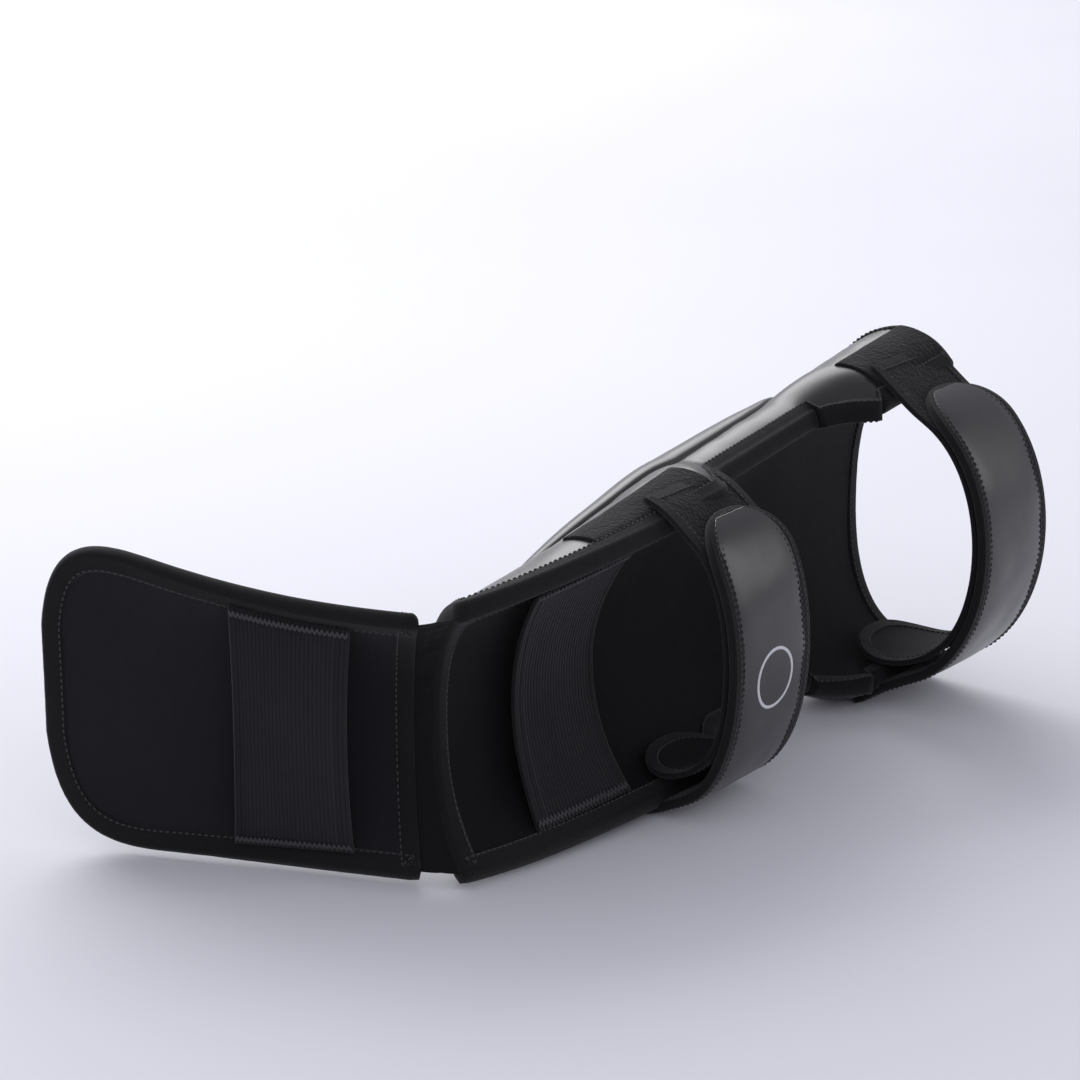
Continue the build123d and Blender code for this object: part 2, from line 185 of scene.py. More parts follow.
class Foot(Trough):
    edge = 7.5
    width_scale = 85.0
    core = (100.0, 0.0)
    along = Vector((cos(FOOT_TURN), sin(FOOT_TURN), 0))
    outward = Vector((sin(FOOT_TURN), -cos(FOOT_TURN), 0))

    def chord(self, s):
        return 126.0 + 42.0 * (max(0.0, s) / FOOT_LENGTH) ** 2.2

    def rim(self, s):
        into_toe = clamp((s - FOOT_LENGTH + 60.0) / 60.0, 0.0, 0.9995)
        return (1 - into_toe ** 2.6) ** (1 / 2.6)

    def depth(self, s):
        return 4.0 + 27.0 * max(0.0, 1 - s / FOOT_LENGTH) ** 1.3

    def middle(self, s):
        return 10.1 - 2.6 * s / FOOT_LENGTH + self.chord(s) / 2

    def pad(self, s):
        return mix(7.5, 12.0, sin(pi * clamp(s / FOOT_LENGTH, 0.15, 1.0)))

    def swell(self, s):
        return 0.15

    def mitre(self, s):
        return 0.30 * max(0.0, 1 - s / 70.0)


SHIN = Shin()
FOOT = Foot()


class Path(Surface):
    """A band that follows a plane curve; s is the length along it, w millimetres across (along X)."""

    across = 30.0
    width_scale = 1.0

    def __init__(self, x, points):
        """points are (out, up) in the shin's section."""
        self.x = x
        self.points = np.array(points)
        steps = np.hypot(*np.diff(self.points, axis=0).T)
        self.lengths = np.concatenate([[0.0], np.cumsum(steps)])
        self.end = self.lengths[-1]
        self.core = (self.end / 2, 0.0)

    def spot(self, s):
        return np.array([np.interp(s, self.lengths, self.points[:, k]) for k in (0, 1)])

    def at(self, s, w, t):
        here = self.spot(s)
        ahead, behind = self.spot(min(s + 1.5, self.end)), self.spot(max(s - 1.5, 0.0))
        heading = (ahead - behind) / np.hypot(*(ahead - behind))
        out = here[0] + heading[1] * t
        up = here[1] - heading[0] * t
        if s > self.end or s < 0:
            beyond = s - (self.end if s > self.end else 0.0)
            out += heading[0] * beyond
            up += heading[1] * beyond
        return ANKLE + Vector((self.x + w, out, up)) * MM


def ellipse(side, start, end, inset=0.0):
    """Points of a strap's ellipse in the shin's section, from one angle in degrees to another."""
    sizes = STRAPS[side]
    x, bulge = sizes["x"], sizes["bulge"]
    out = -SHIN.depth(x) - STRAP_STAND_OFF
    rise = SHIN.chord(x) / 2 + STRAP_RISE
    points = []
    for k in range(121):
        turn = radians(mix(start, end, k / 120))
        points.append((out - (bulge - inset) * cos(turn), SHIN.middle(x) + (rise - inset) * sin(turn)))
    return points


def curl(side):
    """Last stretch of a tongue, which curls in over the lower wing."""
    x = STRAPS[side]["x"]
    before, start = (np.array(p) for p in ellipse(side, -29.9, -30.0, TONGUE_INSET)[::120])
    end = np.array((-SHIN.depth(x) + 24.4, SHIN.middle(x) - SHIN.chord(x) / 2 + 11.5))
    reach = 0.41 * np.hypot(*(end - start))
    heading = (start - before) / np.hypot(*(start - before))
    guides = start + heading * reach, end - np.array((0.87, 0.49)) * reach
    return [tuple((1 - v) ** 3 * start + 3 * (1 - v) ** 2 * v * guides[0] + 3 * (1 - v) * v * v * guides[1]
                  + v ** 3 * end) for v in np.linspace(0.02, 1.0, 50)]


# ---- mesh builders --------------------------------------------------------------------------------
def make(name, vertices, faces, uvs=None, lowest=0.0002):
    """New object from lists; uvs is one pair per vertex, in metres along the cloth.

    Cloth that would reach below the floor is pressed flat on it.
    """
    mesh = bpy.data.meshes.new(name)
    mesh.from_pydata([(v[0], v[1], max(v[2], lowest)) for v in vertices], [], faces)
    if uvs is not None:
        layer = mesh.uv_layers.new(name="cloth")
        corners = np.empty(len(mesh.loops), dtype=np.int32)
        mesh.loops.foreach_get("vertex_index", corners)
        layer.data.foreach_set("uv", np.array(uvs, dtype=np.float32)[corners].ravel())
    mesh.polygons.foreach_set("use_smooth", [True] * len(mesh.polygons))
    mesh.update()
    obj = bpy.data.objects.new(name, mesh)
    bpy.context.scene.collection.objects.link(obj)
    return obj


def spread(start, end, step, ends=8.0):
    """Stations from start to end, closer together near both ends."""
    inner = np.linspace(start + ends, end - ends, max(2, int((end - start - 2 * ends) / step) + 1))
    near = start + ends * (1 - np.cos(np.linspace(0, pi / 2, 7)[:-1]))
    return list(near) + list(inner) + list(start + end - near[::-1])


def quilt(name, surface, stations, half, inner, outer, columns):
    """Closed sheet between two layers of a surface, w running from -half(s) to half(s)."""
    vertices, uvs = [], []
    for layer in (outer, inner):
        for s in stations:
            reach = half(s)
            for k in range(columns + 1):
                w = reach * sin(pi / 2 * (2 * k / columns - 1))
                vertices.append(surface.at(s, w, layer(s, w)))
                uvs.append((s * MM, w * MM * surface.width_scale))
    rows, row = len(stations), columns + 1
    back = rows * row
    faces = []
    for i in range(rows - 1):
        for k in range(columns):
            a, b = i * row + k, (i + 1) * row + k
            faces.append((a, a + 1, b + 1, b))
            faces.append((back + a, back + b, back + b + 1, back + a + 1))
        first, last = i * row, i * row + columns
        faces.append((first, first + row, back + first + row, back + first))
        faces.append((last, back + last, back + last + row, last + row))
    for k in range(columns):
        top, low = k, (rows - 1) * row + k
        faces.append((top, back + top, back + top + 1, top + 1))
        faces.append((low, low + 1, back + low + 1, back + low))
    return make(name, vertices, faces, uvs)


def double_grid(rows, columns):
    """Faces of a closed sheet made of two grids of points, one behind the other."""
    row = columns + 1
    back = row * (rows + 1)
    faces = []
    for i in range(rows):
        for k in range(columns):
            a, b = i * row + k, (i + 1) * row + k
            faces.append((a, a + 1, b + 1, b))
            faces.append((back + a, back + b, back + b + 1, back + a + 1))
        for k in (0, columns):
            a, b = i * row + k, (i + 1) * row + k
            faces.append((a, b, back + b, back + a))
    for k in range(columns):
        for i in (0, rows):
            a = i * row + k
            faces.append((a, a + 1, back + a + 1, back + a))
    return faces


def outline(surface, start, end, half, step=2.5):
    """Points (s, w) round a panel: along one edge, over the end, back along the other."""
    stations = spread(start, end, step)
    points = [(s, -half(s)) for s in stations]
    count = max(2, int(2 * half(end) * surface.width_scale / step))
    points += [(end, half(end) * sin(pi / 2 * (2 * k / count - 1))) for k in range(1, count)]
    points += [(s, half(s)) for s in reversed(stations)]
    count = max(2, int(2 * half(start) * surface.width_scale / step))
    points += [(start, -half(start) * sin(pi / 2 * (2 * k / count - 1))) for k in range(1, count)]
    return points


def edge_directions(surface, ring, middle):
    """Direction out of the panel, along the cloth, at each resampled outline point."""
    places = [surface.at(s, w, middle(s, w)) for s, w, _ in ring]
    count = len(places)
    directions = []
    for i, (s, w, _) in enumerate(ring):
        heading = (places[(i + 1) % count] - places[i - 1]).normalized()
        out = surface.frame_at(s, w, middle(s, w))[3]
        directions.append(heading.cross(out).normalized())
    return directions


def resample(surface, points, t, step):
    """Even spacing in space round an outline; gives (s, w, length so far)."""
    ring = points + [points[0]]
    places = [surface.at(s, w, t) for s, w in ring]
    lengths = [0.0]
    for a, b in zip(places, places[1:]):
        lengths.append(lengths[-1] + (b - a).length / MM)
    count = max(8, round(lengths[-1] / step))
    marks = np.linspace(0, lengths[-1], count + 1)[:count]
    s = np.interp(marks, lengths, [p[0] for p in ring])
    w = np.interp(marks, lengths, [p[1] for p in ring])
    return list(zip(s, w, marks))


# ---- finishing helpers ----------------------------------------------------------------------------
def outward_normals(obj):
    """Faces of a closed mesh turned outward."""
    shape = bmesh.new()
    shape.from_mesh(obj.data)
    bmesh.ops.recalc_face_normals(shape, faces=shape.faces)
    shape.to_mesh(obj.data)
    shape.free()
    return obj


def dress(obj, material, body=None, nodes=()):
    """Material, slot, body and the CAD nodes that a piece stands for."""
    obj.data.materials.append(material)
    if body:
        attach(obj, body)
    if nodes:
        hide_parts(*nodes)
    return obj


class Threads:
    """Many stitches gathered into one mesh."""

    def __init__(self):
        self.vertices, self.faces = [], []

    def stitch(self, start, end, out, radius=0.00038, lift=0.0004):
        """One stitch from start to end that dives into the cloth at both ends."""
        heading = (end - start).normalized()
        side = heading.cross(out).normalized()
        base = len(self.vertices)
        rings = ((0.0, 0.45, -0.9), (0.2, 1.0, 0.55), (0.5, 1.08, 1.0), (0.8, 1.0, 0.55), (1.0, 0.45, -0.9))
        for share, size, height in rings:
            centre = start.lerp(end, share) + out * lift * height
            for k in range(6):
                turn = 2 * pi * k / 6
                self.vertices.append(centre + (side * cos(turn) + out * sin(turn)) * radius * size)
        for r in range(len(rings) - 1):
            for k in range(6):
                a, b = base + 6 * r + k, base + 6 * r + (k + 1) % 6
                self.faces.append((a, b, b + 6, a + 6))
        self.faces.append(tuple(base + k for k in range(6)))
        self.faces.append(tuple(base + 6 * (len(rings) - 1) + k for k in reversed(range(6))))

    def row(self, points, normals, pitch=0.0034, length=0.0025):
        """Stitches at an even pitch round a ring of points."""
        line = points + points[:1]
        outs = normals + normals[:1]
        lengths = [0.0]
        for a, b in zip(line, line[1:]):
            lengths.append(lengths[-1] + (b - a).length)
        xyz = np.array([tuple(p) for p in line])
        dirs = np.array([tuple(n) for n in outs])

        def spot(d, data):
            return Vector([np.interp(d, lengths, data[:, k]) for k in range(3)])

        count = int(lengths[-1] / pitch)
        for k in range(count):
            d = (k + 0.5) * lengths[-1] / max(1, count)
            a, b = spot(d - length / 2, xyz), spot(d + length / 2, xyz)
            if (b - a).length > 1e-5:
                self.stitch(a, b, spot(d, dirs).normalized())

    def build(self, name):
        return make(name, self.vertices, self.faces)


# ---- materials ------------------------------------------------------------------------------------
SOCKETS = {
    "ior": "IOR",
    "specular": "Specular IOR Level",
    "coat": "Coat Weight",
    "coat_rough": "Coat Roughness",
    "sheen": "Sheen Weight",
    "sheen_rough": "Sheen Roughness",
}


class Shade:
    """Small helper that builds a node material."""

    def __init__(self, name):
        self.material = bpy.data.materials.new(name)
        self.material.use_nodes = True
        self.nodes = self.material.node_tree.nodes
        self.links = self.material.node_tree.links
        self.shader = self.nodes["Principled BSDF"]
        self.place = self.nodes.new("ShaderNodeTexCoord")

    def set(self, **values):
        for key, value in values.items():
            self.shader.inputs[SOCKETS[key]].default_value = value

    def node(self, kind, inputs=None, **settings):
        node = self.nodes.new("ShaderNode" + kind)
        for key, value in settings.items():
            setattr(node, key, value)
        for key, value in (inputs or {}).items():
            socket = node.inputs[key]
            if isinstance(value, bpy.types.NodeSocket):
                self.links.new(value, socket)
            else:
                socket.default_value = value
        return node

    def noise(self, scale, detail=4.0, rough=0.55, stretch=None):
        where = self.place.outputs["Object"]
        if stretch:
            where = self.node("Mapping", {"Vector": where, "Scale": stretch}).outputs["Vector"]
        return self.node("TexNoise", {"Vector": where, "Scale": scale, "Detail": detail,
                                      "Roughness": rough}).outputs["Fac"]

    def cells(self, scale, feature="DISTANCE_TO_EDGE"):
        where = self.place.outputs["Object"]
        return self.node("TexVoronoi", {"Vector": where, "Scale": scale}, feature=feature).outputs["Distance"]

    def math(self, operation, a, b=0.0, c=0.0):
        return self.node("Math", {0: a, 1: b, 2: c}, operation=operation).outputs[0]

    def ramp(self, value, low, high, to_low, to_high):
        return self.node("MapRange", {"Value": value, "From Min": low, "From Max": high, "To Min": to_low,
                                      "To Max": to_high}).outputs["Result"]

    def colour(self, share, first, second):
        """Base colour between two values."""
        node = self.node("Mix", data_type="RGBA")
        sockets = [i for i in node.inputs if i.type == "RGBA"]
        sockets[0].default_value, sockets[1].default_value = (*first, 1), (*second, 1)
        self.links.new(share, node.inputs[0])
        mixed = [o for o in node.outputs if o.type == "RGBA"][0]
        self.links.new(mixed, self.shader.inputs["Base Color"])

    def roughness(self, value):
        self.links.new(value, self.shader.inputs["Roughness"])

    def bump(self, *layers):
        """Layers are (height socket, strength, distance in metres), from coarse to fine."""
        last = None
        for height, strength, distance in layers:
            node = self.node("Bump", {"Height": height, "Strength": strength, "Distance": distance})
            if last:
                self.links.new(last, node.inputs["Normal"])
            last = node.outputs["Normal"]
        self.links.new(last, self.shader.inputs["Normal"])
        return self.material


def uv_waves(shade, across, along):
    """Ribs from the cloth's own coordinates: counts per metre across and along."""
    cloth = shade.node("UVMap", uv_map="cloth").outputs["UV"]
    parts = shade.node("SeparateXYZ", {"Vector": cloth})
    waves = []
    for socket, count in ((parts.outputs["X"], along), (parts.outputs["Y"], across)):
        if count:
            turn = shade.math("MULTIPLY", socket, 2 * pi * count)
            waves.append(shade.math("ABSOLUTE", shade.math("SINE", turn)))
    return waves[0] if len(waves) == 1 else shade.math("MULTIPLY", waves[0], waves[1])


def leather(name, coat):
    """Black synthetic leather; coat is the strength of its gloss."""
    s = Shade(name)
    s.set(specular=0.5, coat=coat, coat_rough=0.26, ior=1.5)
    grain = s.cells(1500.0)
    pores = s.noise(2400.0, 2.0)
    puckers = s.noise(38.0, 3.0, 0.5, stretch=(1.0, 1.0, 0.4))
    soft = s.noise(16.0, 5.0, 0.6)
    wear = s.noise(9.0, 6.0, 0.65)
    s.colour(wear, (0.0060, 0.0058, 0.0068), (0.0100, 0.0096, 0.0112))
    s.roughness(s.ramp(soft, 0.3, 0.75, 0.33, 0.43))
    return s.bump((soft, 0.16, 0.0012), (puckers, 0.14, 0.0009),
                  (s.ramp(grain, 0.0, 0.35, 0.0, 1.0), 0.10, 0.00005), (pores, 0.06, 0.00003))


def fabric(name, dark, light, across, along, sheen, weave=0.00022, strength=0.5):
    """Woven cloth; across and along are threads per metre."""
    s = Shade(name)
    s.set(specular=0.18, sheen=sheen, sheen_rough=0.45)
    threads = uv_waves(s, across, along)
    fuzz = s.noise(900.0, 5.0, 0.7)
    shade = s.noise(14.0, 5.0, 0.6)
    s.colour(s.math("MULTIPLY_ADD", threads, 0.35, s.math("MULTIPLY", shade, 0.65)), dark, light)
    s.roughness(s.ramp(fuzz, 0.3, 0.7, 0.72, 0.9))
    return s.bump((shade, 0.25, 0.0012), (threads, strength, weave), (fuzz, 0.4, 0.00016))


def pile(name, dark, light):
    """Brushed loop fabric."""
    s = Shade(name)
    s.set(specular=0.15, sheen=0.15, sheen_rough=0.4)
    loops = s.noise(620.0, 6.0, 0.75)
    tufts = s.cells(430.0, "F1")
    patches = s.noise(60.0, 4.0, 0.6)
    s.colour(s.math("MULTIPLY_ADD", loops, 0.6, s.math("MULTIPLY", patches, 0.4)), dark, light)
    s.roughness(s.ramp(patches, 0.3, 0.7, 0.82, 0.97))
    return s.bump((patches, 0.3, 0.0009), (tufts, 0.7, 0.0006), (loops, 0.8, 0.0005))


def thread_material(name, dark, light, rough=0.55):
    s = Shade(name)
    s.set(specular=0.4, sheen=0.2, sheen_rough=0.4)
    twist = s.noise(1500.0, 3.0, 0.6)
    s.colour(twist, dark, light)
    s.roughness(s.ramp(twist, 0.3, 0.7, rough, rough + 0.2))
    return s.bump((twist, 0.5, 0.0001))


LEATHER = leather("leather", 0.3)
STRAP_LEATHER = leather("strap_leather", 0.4)
LINING_CLOTH = fabric("lining_cloth", (0.0026, 0.0023, 0.0030), (0.0070, 0.0062, 0.0080), 700, 700, 0.05)
FOOT_CLOTH = fabric("foot_cloth", (0.0060, 0.0052, 0.0072), (0.0170, 0.0150, 0.0200), 700, 700, 0.10)
BINDING_TAPE = fabric("binding_tape", (0.0040, 0.0038, 0.0046), (0.0125, 0.0120, 0.0140), 900, 450, 0.12)
GUSSET_CLOTH = fabric("gusset_cloth", (0.0030, 0.0028, 0.0036), (0.0090, 0.0085, 0.0100), 800, 800, 0.06)
ELASTIC_WEB = fabric("elastic_web", (0.0050, 0.0048, 0.0060), (0.0250, 0.0240, 0.0285), 0, 240, 0.10,
                     weave=0.0007, strength=0.8)
LOOP_PILE = pile("loop_pile", (0.0030, 0.0028, 0.0034), (0.0190, 0.0178, 0.0205))
HOOK_FACE = pile("hook_face", (0.0025, 0.0025, 0.0030), (0.0100, 0.0100, 0.0110))
THREAD = thread_material("sewing_thread", (0.022, 0.021, 0.025), (0.060, 0.057, 0.065))
PRINT_INK = thread_material("print_ink", (0.55, 0.55, 0.58), (0.80, 0.80, 0.83), 0.35)


# ---- panels: pad, lining, bound edge --------------------------------------------------------------
TAPE_STEPS = 5      # points across one side of a bound edge
TAPE_TUCK = 0.25    # how far its inner edge is pressed into the cloth


def inland(surface, ring, outer_t, depths):
    """For every outline point the places (s, w) at the given distances in from the edge."""
    centre = surface.at(*surface.core, 4.0)
    places = []
    for (s, w, _), edge in zip(ring, edge_directions(surface, ring, outer_t)):
        here = surface.at(s, w, outer_t(s, w))
        if edge.dot(here - centre) < 0:
            edge = -edge
        row, done = [], 0.0
        a, b = s, w
        for depth in depths:
            a, b = surface.march(a, b, outer_t(a, b), -edge, depth - done)
            done = depth
            row.append((a, b))
        places.append((edge, row))
    return places


def bound_edge(name, surface, ring, low_t, high_t, width, threads, seed, tape=1.0, pucker=0.35,
               rows=(0.78,), beyond=3.2, outer_share=1.0):
    """Folded tape round an outline: a closed tube with a rounded nose, puckered by its stitching.

    The tape goes width millimetres inland on the low face and outer_share of that on the high one; rows are
    the shares of it at which stitches run, and beyond is how far the nose stands out.
    """
    middle = lambda s, w: (low_t(s, w) + high_t(s, w)) / 2
    places = inland(surface, ring, middle, [width * k / TAPE_STEPS for k in range(1, TAPE_STEPS + 1)])
    vertices, uvs = [], []
    thread_lines = {}
    for (s, w, mark), (edge, row) in zip(ring, places):
        gather = pucker * (wobble(mark, seed, 0, 7.0) + 0.6 * wobble(mark, seed, 9, 3.4))
        out = surface.frame_at(s, w, middle(s, w))[3]
        track = [(s, w)] + row
        sides = []
        for t_of, sign, share_of in ((low_t, -1, 1.0), (high_t, 1, outer_share)):
            side = []
            for k in range(TAPE_STEPS, -1, -1):
                place = k * share_of
                before = min(TAPE_STEPS - 1, int(place))
                a, b = (mix(track[before][i], track[before + 1][i], place - before) for i in (0, 1))
                share = k / TAPE_STEPS
                rise = tape * (0.75 + 0.25 * sin(pi * share)) + gather * (0.4 + 0.6 * share) * 0.6
                if k == TAPE_STEPS:
                    rise = -TAPE_TUCK
                side.append(surface.at(a, b, t_of(a, b) + sign * rise))
            sides.append(side)
        low_side, high_side = sides
        half = (high_t(s, w) - low_t(s, w)) / 2 + tape
        centre = surface.at(s, w, middle(s, w))
        nose = []
        for k in range(1, 8):
            turn = pi * k / 8
            nose.append(centre + edge * (beyond + 0.25 * gather) * MM * sin(turn) ** 0.8
                        - out * half * MM * cos(turn) * (0.97 + 0.03 * cos(2 * turn)))
        profile = low_side + nose + high_side[::-1]
        vertices += profile
        uvs += [(mark * MM, k * 0.0018) for k in range(len(profile))]
        for share in rows:
            i = int(share * TAPE_STEPS)
            part = share * TAPE_STEPS - i
            for side, sign in ((low_side[::-1], -1), (high_side[::-1], 1)):
                spot = side[i].lerp(side[min(TAPE_STEPS, i + 1)], part)
                thread_lines.setdefault((sign, share), []).append((spot, out * sign))
    size = len(vertices) // len(ring)
    faces = []
    for i in range(len(ring)):
        j = (i + 1) % len(ring)
        for k in range(size):
            n = (k + 1) % size
            faces.append((i * size + k, i * size + n, j * size + n, j * size + k))
    for line in thread_lines.values():
        threads.row([p for p, _ in line], [n for _, n in line])
    return outward_normals(make(name, vertices, faces, uvs))


def liner(name, surface, stations, seed, scale, columns):
    """Lining cloth, a little wavy away from the edge."""
    def low(s, w):
        edge_fade = 1 - smooth((abs(w) - 0.8) / 0.16)
        return 0.5 * wobble(s, w * surface.width_scale, seed, scale) * edge_fade
    return outward_normals(quilt(name, surface, stations, surface.rim, low, lambda s, w: 1.7, columns))


def lobed(surface, amount, scale, seed):
    """Extra thickness of a padded face, in millimetres."""
    def extra(s, w):
        height = w * surface.width_scale
        return amount * (wobble(s, height, seed, scale) + 0.5 * wobble(s, height, seed + 50, scale / 2.3))
    return extra


shin_threads = Threads()
shin_waves = lobed(SHIN, 0.9, 34.0, 3.0)


def shin_outer(s, w):
    edge_fade = 1 - smooth((abs(w) / SHIN.rim(s) - 0.86) / 0.12)
    return SHIN.thickness(s, w) + shin_waves(s, w) * edge_fade


shin_stations = spread(0.0, SHIN_LENGTH, 3.2)
shin_pad = outward_normals(quilt("shin_pad", SHIN, shin_stations, SHIN.rim, lambda s, w: 1.8, shin_outer, 96))
dress(shin_pad, LEATHER, "shin", ("shin_cover", "shin_foam"))
shin_liner = liner("shin_liner", SHIN, shin_stations, 77, 40.0, 72)
dress(shin_liner, LINING_CLOTH, "shin", ("shin_lining",))

shin_ring = resample(SHIN, outline(SHIN, 0.0, SHIN_LENGTH, SHIN.rim), 4.5, 2.4)
shin_edge = bound_edge("shin_edge_tape", SHIN, shin_ring, lambda s, w: 0.0, SHIN.thickness,
                       9.0, shin_threads, 1.0, outer_share=0.55)
dress(shin_edge, BINDING_TAPE, "shin", ("shin_binding",))

foot_threads = Threads()
foot_waves = lobed(FOOT, 0.6, 30.0, 13.0)


def foot_outer(s, w):
    return FOOT.thickness(s, w) + foot_waves(s, w) * (1 - smooth((abs(w) / FOOT.rim(s) - 0.84) / 0.12))


foot_stations = spread(FOOT_START, FOOT_END, 2.8)
foot_pad = outward_normals(quilt("foot_pad", FOOT, foot_stations, FOOT.rim, lambda s, w: 1.8, foot_outer, 64))
dress(foot_pad, LEATHER, "foot", ("foot_cover", "foot_foam"))
foot_liner = liner("foot_liner", FOOT, foot_stations, 31, 36.0, 56)
dress(foot_liner, FOOT_CLOTH, "foot", ("foot_lining",))
foot_ring = resample(FOOT, outline(FOOT, FOOT_START, FOOT_END, FOOT.rim), 3.8, 2.4)
foot_edge = bound_edge("foot_edge_tape", FOOT, foot_ring, lambda s, w: 0.0, FOOT.thickness,
                       9.0, foot_threads, 2.0, outer_share=0.7)
dress(foot_edge, BINDING_TAPE, "foot", ("foot_binding",))


# ---- raised pads ----------------------------------------------------------------------------------
def raised(name, surface, start, end, span, height, seed):
    """Crowned pad on a panel's outer face."""
    def swell(s):
        return 0.4 + 0.6 * sqrt(max(0.0, sin(pi * clamp((s - start) / (end - start)))))

    def half(s):
        end_round = 1 - 0.35 * (1 - sqrt(max(0.0, sin(pi * clamp((s - start) / (end - start)))))) ** 2
        return span * (0.6 + 0.4 * swell(s)) * end_round

    def top(s, w):
        share = clamp(abs(w) / half(s))
        ends = min(1.0, min(s - start, end - s) / 14.0)
        dome = sqrt(max(0.0, 1 - share ** 5)) * sqrt(max(0.0, 1 - (1 - ends) ** 2))
        fold = 0.5 * wobble(s, w * surface.width_scale, seed, 26.0)
        return surface.thickness(s, w) + 0.6 + (height * swell(s) - 0.8 + fold) * dome

    stations = spread(start + 0.2, end - 0.2, 3.0)
    return outward_normals(quilt(name, surface, stations, half,
                                 lambda s, w: surface.thickness(s, w) - 0.6, top, 48))


ridge = raised("shin_ridge_pad", SHIN, 47.0, 351.0, 0.64, 11.0, 5.0)
dress(ridge, LEATHER, "shin", ("ridge_cover", "ridge_foam"))
instep = raised("instep_pad", FOOT, 45.0, 169.0, 0.58, 9.0, 8.0)
dress(instep, LEATHER, "foot", ("instep_cover", "instep_foam"))


# ---- elastics -------------------------------------------------------------------------------------
def elastic(name, surface, reach, bow, body, node, threads):
    """Ribbed webbing between the wings, with welted edges and zigzag tacks at both ends."""
    def at(s, v, offset):
        low = surface.section(s, -0.93, -1.8)
        high = surface.section(s, 0.93, -1.8)
        out = mix(low[0], high[0], (1 + v) / 2) + bow * (1 - v * v) + offset
        up = mix(low[1], high[1], (1 + v) / 2)
        along = s + surface.mitre(s) * out
        return ANKLE + (surface.along * along + surface.outward * out + Vector((0, 0, up))) * MM

    start, end = reach
    columns, rows = 60, 40
    vertices, uvs = [], []
    for side in (-1, 1):
        for i in range(rows + 1):
            v = mix(-1, 1, i / rows)
            narrow = 2.2 * (1 - v * v)
            for k in range(columns + 1):
                share = k / columns
                s = mix(start + narrow, end - narrow, share)
                near_left, near_right = share * (end - start), (1 - share) * (end - start)
                welt = 0.0
                for spot, size in ((2.0, 1.5), (6.2, 1.3)):
                    welt = max(welt, 0.75 * exp(-((near_left - spot) / size) ** 2))
                welt = max(welt, 0.75 * exp(-((near_right - 1.6) / 1.3) ** 2))
                slack = 0.5 * wobble(s, v * 30, 4, 17.0)
                vertices.append(at(s, v, side * (0.7 + welt) + slack))
                uvs.append((share * (end - start) * MM, v * 0.06))
    web = outward_normals(make(name, vertices, double_grid(rows, columns), uvs))
    dress(web, ELASTIC_WEB, body, (node,))
    for side in (-1, 1):
        teeth = int((end - start) / 2.4)
        inner = -surface.outward
        for offset in (0.0, 0.35):
            line = []
            for k in range(teeth * 2 + 1):
                v = side * (0.925 if k % 2 else 0.975)
                line.append(at(mix(start + 1, end - 1, k / (teeth * 2)) + offset, v, -1.75))
            for a, b in zip(line, line[1:]):
                threads.stitch(a, b, inner, 0.0004, 0.0002)


ankle_tacks, foot_tacks = Threads(), Threads()
elastic("ankle_elastic_web", SHIN, (46.0, 106.0), 24.0, "shin", "ankle_elastic", ankle_tacks)
elastic("foot_elastic_web", FOOT, (42.0, 102.0), -5.0, "foot", "foot_elastic", foot_tacks)
dress(ankle_tacks.build("ankle_tack_threads"), THREAD, "shin", ("ankle_bar_tacks",))
dress(foot_tacks.build("foot_tack_threads"), THREAD, "foot", ("foot_bar_tacks",))


# ---- gathered gusset ------------------------------------------------------------------------------
def gusset():
    """Gathered cloth between the two pads, wrinkled and drawn in at its middle."""
    rows, columns = 160, 12
    vertices, uvs = [], []
    for side in (-1, 1):
        for i in range(rows + 1):
            w = mix(-0.995, 0.995, i / rows)
            a = SHIN.at(-1.0, w, 2.2)
            b = FOOT.at(FOOT_START - 1.0, w, 2.2)
            out = (SHIN.outward + FOOT.outward).normalized()
            for k in range(columns + 1):
                share = k / columns
                arch = sin(pi * share)
                fold = arch * (1.1 * wobble(w * 70, share * 3, 2, 5.0)
                               + 0.9 * wobble(w * 70, share * 2, 7, 9.0))
                ridge_line = 0.9 * exp(-((share - 0.5) / 0.1) ** 2)
                vertices.append(a.lerp(b, share) + out * (side * 0.8 + fold - 1.5 * arch + ridge_line) * MM)
                uvs.append((w * 0.08, share * 0.02))
    return outward_normals(make("ankle_gusset_cloth", vertices, double_grid(rows, columns), uvs))


web_cloth = gusset()
dress(web_cloth, GUSSET_CLOTH, None, ("ankle_gusset",))
tuple(SHIN.at(-0.5, 0.0, 2.2))
tuple(FOOT.at(FOOT_START - 0.5, 0.0, 2.2))
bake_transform(web_cloth)


# ---- straps, tongues and loop patches -------------------------------------------------------------
def joined(side, which):
    """Middle line of a strap or tongue, from its top end to its bottom end, sewn ends included."""
    x = STRAPS[side]["x"]
    if which == "strap":
        points = ellipse(side, 84.0, -88.0)
        under = [SHIN.section(x, w, SHIN.thickness(x, w) + 1.6) for w in (-0.985, -0.94, -0.89)]
        return points[:-8] + under
    points = ellipse(side, 84.0, -30.0, TONGUE_INSET) + curl(side)
    over = [SHIN.section(x, w, SHIN.thickness(x, w) + 0.5) for w in (0.91, 0.95, 0.985)]
    return over + points[8:]


def smooth_line(points, step=2.0):
    """Even, softly rounded copy of a line of points."""
    data = np.array(points, dtype=float)
    lengths = np.concatenate([[0.0], np.cumsum(np.hypot(*np.diff(data, axis=0).T))])
    marks = np.linspace(0, lengths[-1], int(lengths[-1] / step) + 1)
    line = np.stack([np.interp(marks, lengths, data[:, k]) for k in (0, 1)], axis=1)
    for _ in range(14):
        inner = (line[:-2] + 2 * line[1:-1] + line[2:]) / 4
        line[1:-1] = inner
    return line


